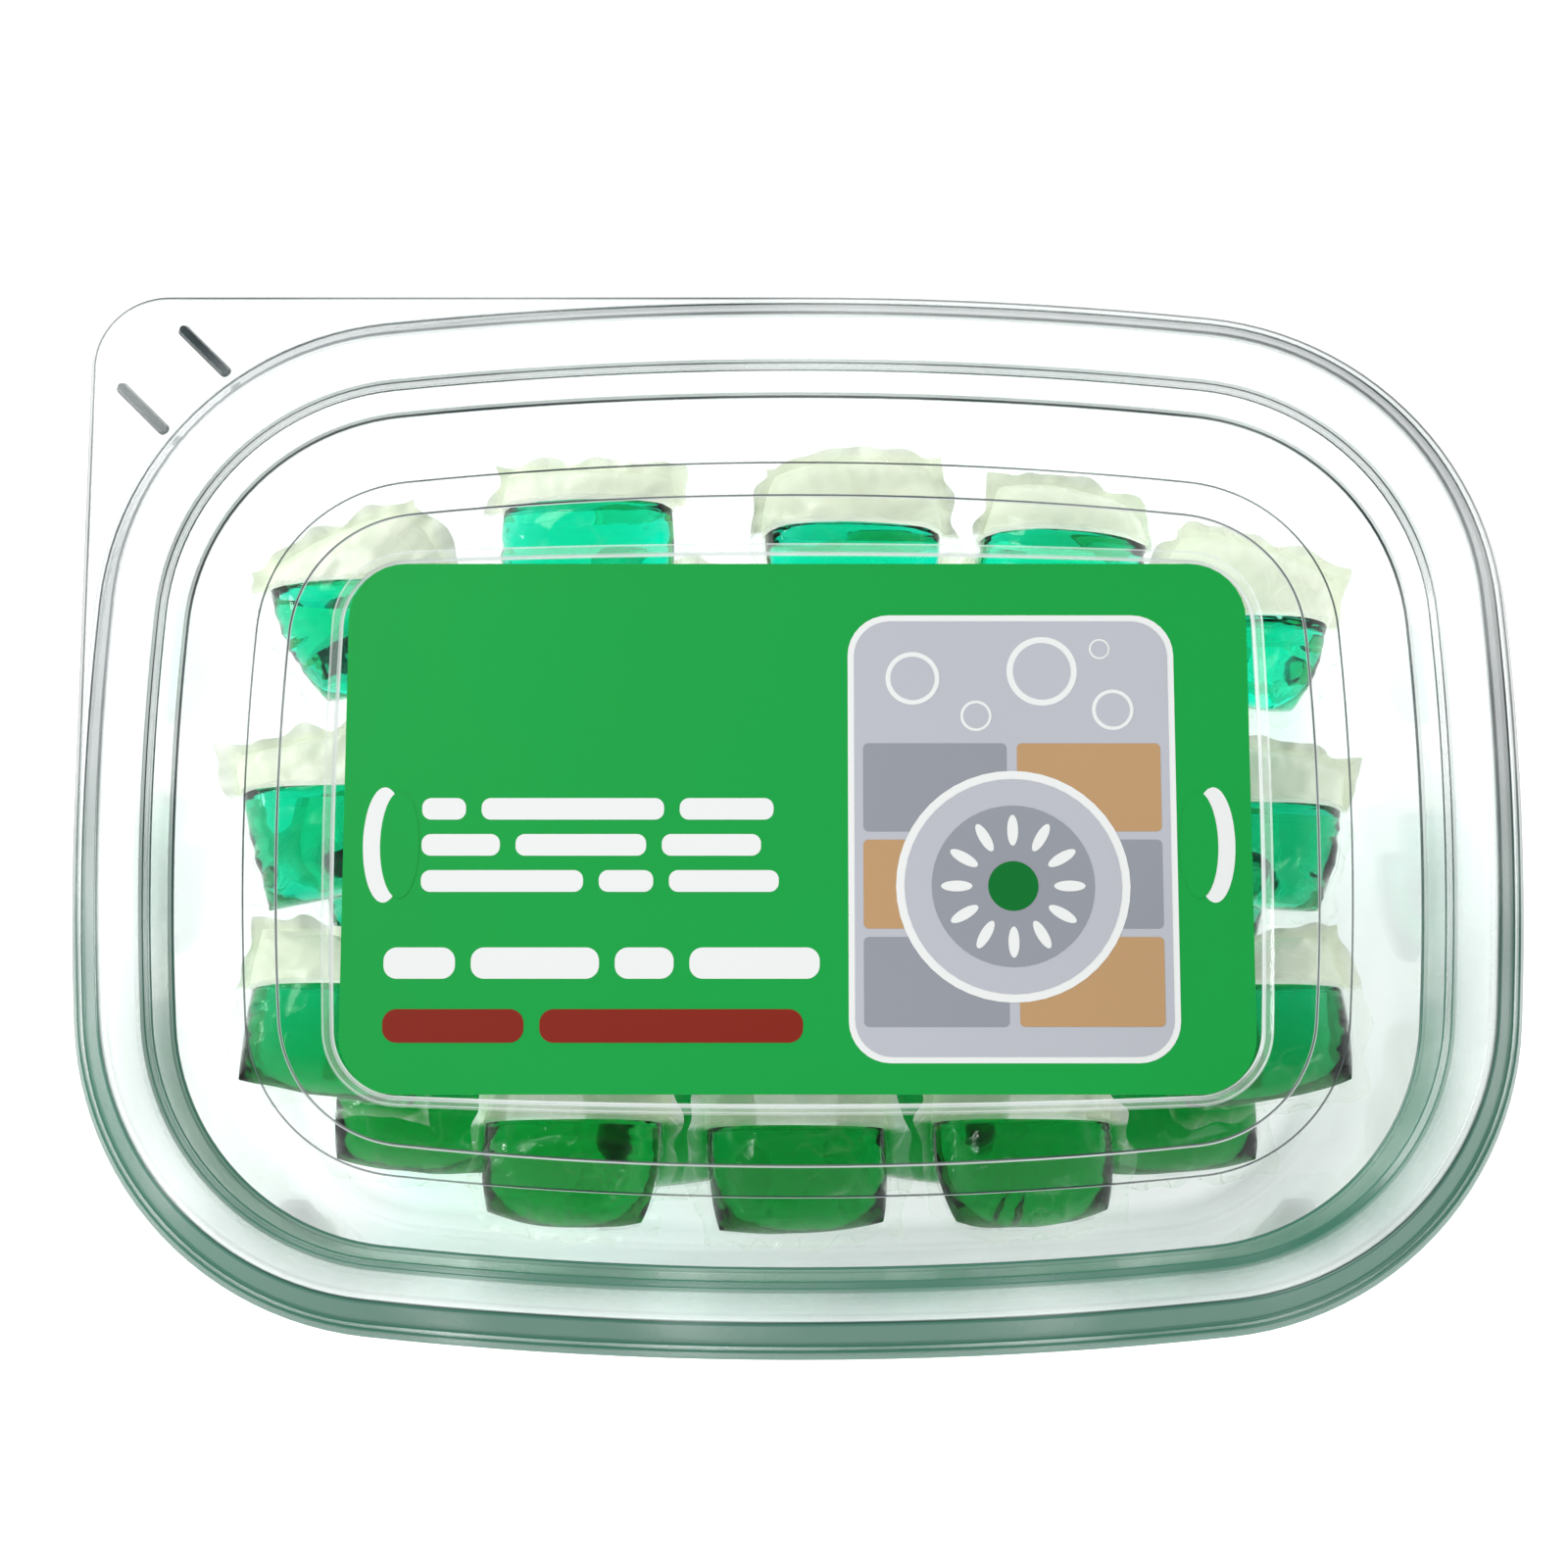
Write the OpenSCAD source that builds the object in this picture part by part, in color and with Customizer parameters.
// Drain deodorizer capsule pack: a clear formed tub, a clear press-on lid with a recessed
// top and a corner pull tab, a printed label, and thirty gel capsules in clear film.
// The pack lies on its base. +Z is up, +Y is the back, and the pull tab is back left.

/* [Capsules] */
// Capsule across the pack, seam edge to seam edge
capsule_w = 21.4; // [16:0.1:28]
// Capsule from front to back, seam edge to seam edge
capsule_d = 19; // [15:0.1:26]
// Capsule thickness at its middle
capsule_t = 13; // [9:0.1:18]
// Radius of the pouch's domed faces
dome_r = 15; // [13:0.5:24]
// Radius of the pouch's corners
pouch_corner_r = 4.5; // [2:0.1:6]
// Width of the sealed seam round the pouch
seam_w = 0.9; // [0.5:0.1:2]
// Thickness of the sealed seam
seam_t = 0.5; // [0.3:0.05:1]
// Pouch film, modelled thicker than the real film
film_t = 0.2; // [0.1:0.05:0.4]
// Gap between the film and the gel dose
gel_gap = 0.1; // [0.05:0.05:0.3]
// Gel level behind the capsule's middle; the air pocket lies behind it
gel_level = 2.4; // [0:0.1:5]
// Space between neighbouring capsules
capsule_gap = 1.2; // [1.2:0.1:3]

/* [Tub] */
// Formed sheet of the tub
tub_t = 0.45; // [0.3:0.05:0.8]
// Outward slope of the tub's walls, in degrees
draft = 8; // [4:0.5:12]
// Inside radius where the walls meet the base
base_r = 5; // [3:0.5:8]
// Room beside the bed of capsules at each end
end_room = 1.5; // [1:0.1:6]
// Room beside the bed of capsules at the front and at the back
side_room = 0.3; // [0.2:0.1:6]
// Room between the highest capsule and the lid
headspace = 5; // [4.8:0.1:12]

/* [Plan outline, at the foot of the lid's plug wall] */
// Radius of the four corners
corner_r = 22.6; // [18:0.1:26]
// Radius of the bowed long sides
long_side_r = 370; // [300:10:900]
// Radius of the bowed short sides
short_side_r = 260; // [200:10:700]

/* [Lid] */
// Formed sheet of the lid
lid_t = 0.4; // [0.3:0.05:0.6]
// Clearance between the lid and the tub's rim
plug_gap = 0.25; // [0.15:0.05:0.4]
// Depth of the recess from the rim to its outer floor
recess_drop = 9.8; // [8:0.1:14]
// Height of the small ledge in the plug wall, below the rim
ledge_drop = 5.3; // [4:0.1:6.5]
// Width of that ledge
ledge_w = 0.7; // [0.4:0.1:1.2]
// Fall of that ledge
ledge_fall = 0.3; // [0.1:0.1:0.6]
// Run of the plug wall below the ledge
lower_run = 1.3; // [0.8:0.1:2]
// Run of the plug wall above the ledge
upper_run = 2.4; // [1.6:0.1:3]
// Width of the rim's flat crown
crown_w = 0.8; // [0.7:0.1:1.6]
// Width of the crown's outer round
round_w = 0.85; // [0.7:0.05:1.2]
// Drop of that round
round_drop = 1.2; // [1:0.1:1.5]
// Run of the skirt below the round
skirt_run = 1.05; // [0.8:0.05:1.5]
// Drop of the skirt
skirt_fall = 1.9; // [1.5:0.1:2.5]
// Flat between the skirt and the lip
lip_flat = 0.2; // [0.15:0.05:0.6]
// Width of the turned-down lip
lip_w = 1.1; // [0.9:0.1:1.5]
// Drop of the lip
lip_fall = 1.5; // [1.2:0.1:2]
// Width of the outer floor of the recess
floor_w = 6.7; // [5:0.1:8]
// Width of the slope from that floor to the inner floor
step_w = 3; // [2:0.1:3.5]
// Drop of that slope
step_fall = 1; // [0.6:0.1:1.5]
// Drop of the label panel below the inner floor
panel_drop = 0.8; // [0.5:0.1:1.5]

/* [Pull tab] */
// Corner radius of the tab
tab_r = 7.5; // [4:0.5:12]
// Length of a grip rib
rib_l = 6.8; // [4:0.1:8]
// Width of a grip rib
rib_w = 1.2; // [0.8:0.1:1.6]
// Height of a grip rib above the tab
rib_h = 0.5; // [0.3:0.1:0.8]
// Distance between the two ribs
rib_pitch = 8.1; // [6:0.1:10]
// Distance from the skirt's foot to the ribs' middle
rib_out = 4.4; // [4.2:0.1:5.2]

/* [Label] */
// Label across the pack
label_w = 87; // [70:0.5:90]
// Label from front to back
label_d = 51.6; // [40:0.2:54]
// Label thickness
label_t = 0.12; // [0.08:0.02:0.3]
// Radius of the label's corners
label_r = 5.5; // [3:0.5:8]
// Margin from the label to the edge of its panel
label_margin = 1; // [0.8:0.1:2]

/* [Hidden] */
CAPSULES = 30;
capsule_names = [for (i = [1 : CAPSULES]) str("capsule_", i < 10 ? "0" : "", i)];

$fn = 48;
CLEAR = [0.86, 0.93, 0.92, 0.35];
FILM = [0.85, 0.9, 0.78, 0.5];
GEL = [0.02, 0.6, 0.3];
LABEL_GREEN = [0.05, 0.62, 0.28];

// The bed is five capsules wide and four deep. A place is [column, row, lift, tip about X,
// tip about Y, turn], with columns and rows in capsule pitches from the middle of the pack.
pitch_x = capsule_w + capsule_gap;
pitch_y = capsule_d + capsule_gap;
COLUMNS = 5;
ROWS = 4;
LIFT = 1.5;
LOWER = [
    [-1.7, 1.16, 0, 5, 0, 4], [-0.58, 1.22, 0, -4, 6, -5], [0.58, 1.2, 0, 6, -5, 6],
    [1.7, 1.16, 0, -4, 4, -4], [-1.78, 0.03, 0, 4, 5, 6], [-0.6, 0, 0, -5, -4, -6],
    [0.58, 0.03, 0, 5, -6, 5], [1.78, 0, 0, -4, 5, -7], [-1.7, -1.16, 0, -6, -5, -5],
    [-0.58, -1.22, 0, 4, -5, 6], [0.58, -1.2, 0, 6, 4, -7], [1.7, -1.16, 0, -5, 5, 5],
];
UPPER = [
    [-1.91, 1.18, 2, 16, -12, 22], [-0.934, 1.485, 1.5, 14, -8, -3], [0.25, 1.53, 2, 20, 5, 4],
    [1.185, 1.445, -0.7, 10, 23, -4], [1.955, 1.085, 2.5, 14, 10, -13],
    [-2.035, 0.15, 0.6, 8, -12, 10], [-0.995, 0.5, 0.8, 8, -6, 5], [0.02, 0.585, 0.2, -8, 5, -4],
    [1.0, 0.48, 0.6, 6, 6, 5], [2.02, 0.115, -0.9, 10, 8, -8],
    [-2.0, -0.85, 1, -8, 6, -8], [-1.0, -0.52, -0.8, -8, 4, 4], [0.02, -0.53, 0.9, 8, -6, -4],
    [1.0, -0.525, -0.6, -6, 4, 6], [2.0, -0.875, 1, -9, -6, 9],
    [-0.98, -1.48, 0.5, -8, -10, -4], [0, -1.5, -0.9, -6, 4, 3], [0.98, -1.48, 0.6, -8, 8, 5],
];
PLACES = concat(LOWER, UPPER);

// Heights, from the base up
tip_room = 0.3;
low_z = tub_t + capsule_t / 2 + tip_room;
high_z = low_z + capsule_t + tip_room + LIFT;
bed_top = high_z + capsule_t / 2 + tip_room + LIFT;
panel_z = bed_top + headspace + lid_t;
rim_z = panel_z + panel_drop + step_fall + recess_drop;
foot_z = rim_z - recess_drop;

// The tub's wall clears the bed halfway up the upper layer and slopes from there
wall_run = (foot_z - high_z) * tan(draft);
plug_hw = COLUMNS * pitch_x / 2 + end_room + wall_run - plug_gap - lid_t;
plug_hd = ROWS * pitch_y / 2 + side_room + wall_run - plug_gap - lid_t;

// Stations round a bowed, rounded rectangle of tangent arcs: [arc centre, radius, angle,
// side in X, side in Y]. Every ring of the lid and the tub is parallel to this outline.
SHORT_STEPS = 3;
CORNER_STEPS = 10;
LONG_STEPS = 3;
QUARTER = SHORT_STEPS + CORNER_STEPS + LONG_STEPS;
RING = 4 * QUARTER;

function spread(a, b, n) = [for (k = [0 : n - 1]) a + (b - a) * k / n];

function quarter(hw, hd, rl, rs, rc) =
    let (c1 = [0, hd - rl], c2 = [hw - rs, 0],
         r1 = rl - rc, r2 = rs - rc, span = norm(c2 - c1), e = (c2 - c1) / span,
         along = (r1 * r1 - r2 * r2 + span * span) / (2 * span),
         c = c1 + along * e + sqrt(r1 * r1 - along * along) * [e[1], -e[0]],
         a1 = atan2(c[1] - c1[1], c[0] - c1[0]), a2 = atan2(c[1] - c2[1], c[0] - c2[0]))
    concat([for (a = spread(0, a2, SHORT_STEPS)) [c2, rs, a]],
           [for (a = spread(a2, a1, CORNER_STEPS)) [c, rc, a]],
           [for (a = spread(a1, 90, LONG_STEPS)) [c1, rl, a]],
           [[c1, rl, 90]]);

function stations(hw, hd, rl, rs, rc) =
    let (q = quarter(hw, hd, rl, rs, rc))
    concat([for (i = [0 : QUARTER - 1]) concat(q[i], [1, 1])],
           [for (i = [QUARTER : -1 : 1]) concat(q[i], [-1, 1])],
           [for (i = [0 : QUARTER - 1]) concat(q[i], [-1, -1])],
           [for (i = [QUARTER : -1 : 1]) concat(q[i], [1, -1])]);

// A ring stands a distance out from the outline, at one height
function ring_point(s, out, z) =
    [s[3] * (s[0][0] + (s[1] + out) * cos(s[2])), s[4] * (s[0][1] + (s[1] + out) * sin(s[2])), z];
function ring(st, out, z) = [for (s = st) ring_point(s, out, z)];

outline = stations(plug_hw, plug_hd, long_side_r, short_side_r, corner_r);

// The rim's last rings run out to the corner of the pack at the pull tab, back left: up the
// side, round the tab's corner and along the back
TAB_START = 5;
TAB_STEPS = 6;
TAB_END = QUARTER - TAB_START - TAB_STEPS;
function tab_quarter(hx, hy, r) =
    concat([for (i = [0 : TAB_START - 1]) [hx, (hy - r) * i / TAB_START]],
           [for (i = [0 : TAB_STEPS])
               let (a = 90 * i / TAB_STEPS) [hx - r + r * cos(a), hy - r + r * sin(a)]],
           [for (i = [1 : TAB_END]) [(hx - r) * (1 - i / TAB_END), hy]]);
function tab_ring(out, z) =
    let (q = tab_quarter(plug_hw + out, plug_hd + out, tab_r - lip_out + out))
    [for (k = [0 : RING - 1])
        let (i = 2 * QUARTER - k)
        k > QUARTER && i > 0 ? [-q[i][0], q[i][1], z] : ring_point(outline[k], out, z)];

// A formed sheet's second face: the section moved by t to the right of its direction
function unit(v) = v / norm(v);
function right(v) = let (u = unit(v)) [u[1], -u[0]];
function shift(p, t) =
    [for (i = [0 : len(p) - 1])
        let (m = right(p[max(i, 1)] - p[max(i, 1) - 1]),
             k = min(i, len(p) - 2), n = right(p[k + 1] - p[k]))
        p[i] + t * (m + n) / (1 + m * n)];
function at_height(p, q, z) = p + (q - p) * (z - p[1]) / (q[1] - p[1]);
function reversed(p) = [for (i = [len(p) - 1 : -1 : 0]) p[i]];

// Rings given in order from the middle of the top face over the edge to the middle of the
// bottom face make one closed sheet
module formed_sheet(rings) {
    last = (len(rings) - 1) * RING;
    walls = [for (j = [0 : len(rings) - 2], i = [0 : RING - 1])
        let (a = j * RING + i, b = j * RING + (i + 1) % RING)
        each [[a, b, b + RING], [a, b + RING, a + RING]]];
    polyhedron(points = [for (r = rings) each r],
               faces = concat([[for (i = [RING - 1 : -1 : 0]) i]], walls,
                              [[for (i = [0 : RING - 1]) last + i]]));
}

// Section of the lid's top face: [distance out from the plug wall's foot, drop below the rim]
ledge_in = lower_run;
ledge_out = lower_run + ledge_w;
crown_in = ledge_out + upper_run;
crown_out = crown_in + crown_w;
skirt_in = crown_out + round_w;
skirt_out = skirt_in + skirt_run;
skirt_drop = round_drop + skirt_fall;
lip_in = skirt_out + lip_flat;
lip_out = lip_in + lip_w;
foot_r = 0.5;
dish = [
    [-floor_w - step_w, -recess_drop - step_fall],
    [-floor_w, -recess_drop],
    [-foot_r, -recess_drop],
    [foot_r * lower_run / recess_drop, -recess_drop + foot_r],
    [ledge_in, -ledge_drop - ledge_fall],
    [ledge_out, -ledge_drop],
    [crown_in, 0],
    [crown_out, 0],
    [crown_out + round_w / 2, -round_drop / 4],
    [skirt_in, -round_drop],
    [skirt_out, -skirt_drop],
    [lip_in, -skirt_drop],
    [lip_out, -skirt_drop - lip_fall],
];
PLUG_FOOT = 3;
LEDGE_IN = 4;
LEDGE_OUT = 5;
CROWN_IN = 6;
SKIRT_IN = 9;
SKIRT_OUT = 10;

// The label panel has straighter sides than the rim, parallel to the label
PANEL_LONG_R = 900;
PANEL_SHORT_R = 500;
panel_outline = stations(label_w / 2 + label_margin, label_d / 2 + label_margin,
                         PANEL_LONG_R, PANEL_SHORT_R, label_r + label_margin);
panel_top = panel_z - rim_z;
panel_section = [[-floor_w, panel_top], [0, panel_top],
                 [panel_drop, panel_top + panel_drop], [floor_w, panel_top + panel_drop]];

function lid_rings(section, panel) = concat(
    [for (k = [1, 2]) ring(panel_outline, panel[k][0], rim_z + panel[k][1])],
    [for (k = [0 : SKIRT_OUT]) ring(outline, section[k][0], rim_z + section[k][1])],
    [for (k = [SKIRT_OUT + 1 : len(section) - 1]) tab_ring(section[k][0], rim_z + section[k][1])]);

// The two ribs on the pull tab point at the middle of the lid
module tab_ribs() {
    middle = outline[QUARTER + floor(QUARTER / 2)];
    foot = ring_point(middle, skirt_out + rib_out, 0);
    turn = atan2(foot[1] - middle[4] * middle[0][1], foot[0] - middle[3] * middle[0][0]);
    for (side = [-1, 1])
        translate([foot[0], foot[1], rim_z - skirt_drop - lid_t / 2])
            rotate(turn) translate([0, side * rib_pitch / 2, 0])
                linear_extrude(rib_h + lid_t / 2) {
                    square([rib_l - rib_w, rib_w], center = true);
                    for (end = [-1, 1]) translate([end * (rib_l - rib_w) / 2, 0]) circle(rib_w / 2);
                }
}

module lid() {
    color(CLEAR) {
        formed_sheet(concat(lid_rings(dish, panel_section),
                            reversed(lid_rings(shift(dish, lid_t), shift(panel_section, lid_t)))));
        tab_ribs();
    }
}

// The tub's rim follows the lid's underside at the clearance, from the plug wall's foot over
// the crown and down the skirt, and ends in a small lip below the lid's own
CROWN_DROP = 1.2;
TUB_LIP_INSET = 0.3;
BASE_STEPS = 5;
guide = shift(dish, lid_t + plug_gap);
tub_lip_z = -skirt_drop - lip_fall - lid_t - plug_gap / 2;
wall_x = guide[LEDGE_IN][0] - (guide[LEDGE_IN][1] - guide[PLUG_FOOT][1]) * lower_run
         / (recess_drop - ledge_drop - ledge_fall);
wall_top = [wall_x, guide[PLUG_FOOT][1]];
base_c = [wall_top[0] - (wall_top[1] + rim_z - tub_t - base_r) * tan(draft) - base_r / cos(draft),
          tub_t + base_r - rim_z];
tub_section = concat(
    [[base_c[0] - base_r / 2, tub_t - rim_z]],
    [for (k = [0 : BASE_STEPS])
        let (a = -90 + (90 - draft) * k / BASE_STEPS) base_c + base_r * [cos(a), sin(a)]],
    [wall_top, guide[LEDGE_IN], guide[LEDGE_OUT],
     at_height(guide[LEDGE_OUT], guide[CROWN_IN], -CROWN_DROP),
     at_height(guide[SKIRT_IN], guide[SKIRT_OUT], -CROWN_DROP),
     at_height(guide[SKIRT_IN], guide[SKIRT_OUT], tub_lip_z),
     [lip_out - TUB_LIP_INSET, tub_lip_z]]);

function tub_rings(section) = [for (p = section) ring(outline, p[0], rim_z + p[1])];

module tub() {
    color(CLEAR)
        formed_sheet(concat(tub_rings(tub_section), reversed(tub_rings(shift(tub_section, tub_t)))));
}

module rounded_rectangle(w, d, r) {
    square([w - 2 * r, d], center = true);
    square([w, d - 2 * r], center = true);
    for (x = [-1, 1], y = [-1, 1]) translate([x * (w / 2 - r), y * (d / 2 - r)]) circle(r);
}

module label() {
    color(LABEL_GREEN) translate([0, 0, panel_z])
        linear_extrude(label_t) rounded_rectangle(label_w, label_d, label_r);
}

// The domed cushion inside the seam, made smaller all over by an inset
module cushion(inset) {
    intersection() {
        translate([0, 0, -capsule_t / 2]) linear_extrude(capsule_t)
            rounded_rectangle(capsule_w - 2 * (seam_w + inset), capsule_d - 2 * (seam_w + inset),
                              pouch_corner_r - inset);
        intersection_for (side = [-1, 1])
            translate([0, 0, side * (dome_r - capsule_t / 2)]) sphere(dome_r - inset);
    }
}

module placed(i) {
    p = PLACES[i];
    z = i < len(LOWER) ? low_z : high_z;
    translate([p[0] * pitch_x, p[1] * pitch_y, z + p[2] * LIFT]) rotate([p[3], p[4], p[5]])
        children();
}

module pouch() {
    difference() {
        union() {
            cushion(0);
            translate([0, 0, -seam_t / 2]) linear_extrude(seam_t)
                rounded_rectangle(capsule_w, capsule_d, pouch_corner_r + seam_w);
        }
        cushion(film_t);
    }
}

module capsule(i) {
    color(FILM) placed(i) pouch();
}

// A gel dose fills its pouch up to the level at which it settled, square to the pack
module gel_dose(i) {
    intersection() {
        placed(i) cushion(film_t + gel_gap);
        translate([PLACES[i][0] * pitch_x - capsule_w, PLACES[i][1] * pitch_y - 2 * capsule_d, 0])
            cube([2 * capsule_w, 2 * capsule_d + gel_level, rim_z]);
    }
}

module gel_doses() {
    color(GEL) for (i = [0 : CAPSULES - 1]) gel_dose(i);
}

tub();
lid();
label();
gel_doses();
for (i = [0 : CAPSULES - 1]) capsule(i);
